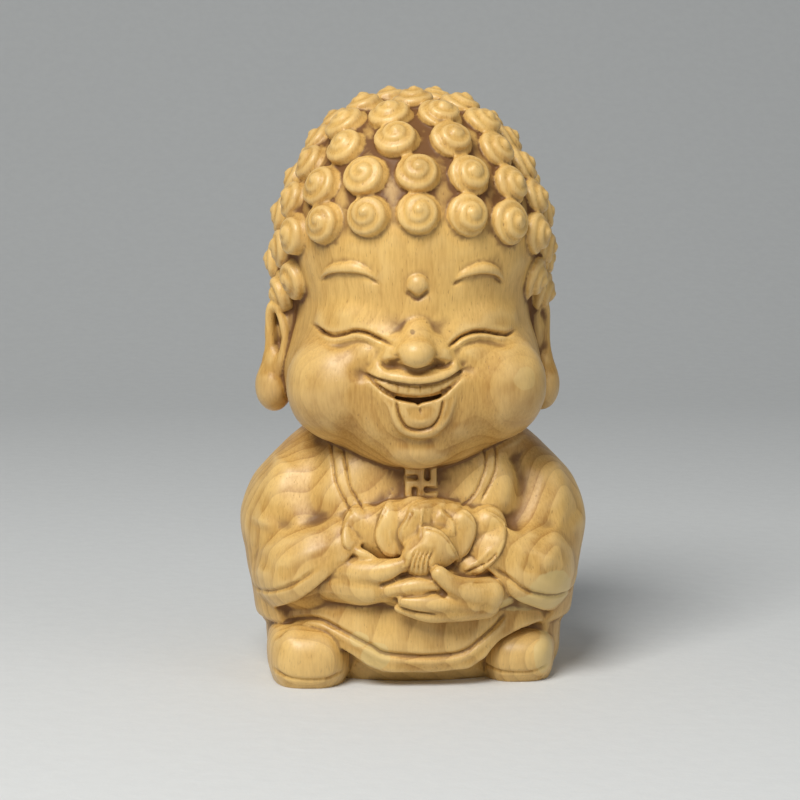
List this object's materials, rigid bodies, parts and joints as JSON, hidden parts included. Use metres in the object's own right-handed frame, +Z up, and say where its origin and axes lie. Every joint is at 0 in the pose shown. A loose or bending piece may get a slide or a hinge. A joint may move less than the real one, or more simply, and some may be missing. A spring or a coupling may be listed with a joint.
{
  "type": "laughing buddha carving",
  "caption": "Palm-size carved wooden seated laughing buddha with snail curls, folded robe and a lotus held in both hands.",
  "frame": {"origin": "middle of the flat underside", "axes": "+Z up along the figure's height, the figure faces -Y"},
  "size_m": [0.0581, 0.0524, 0.0958],
  "materials": {
    "boxwood": "satin, hand polished"
  },
  "bodies": {
    "root": {"carving": "boxwood"}
  },
  "joints": []
}
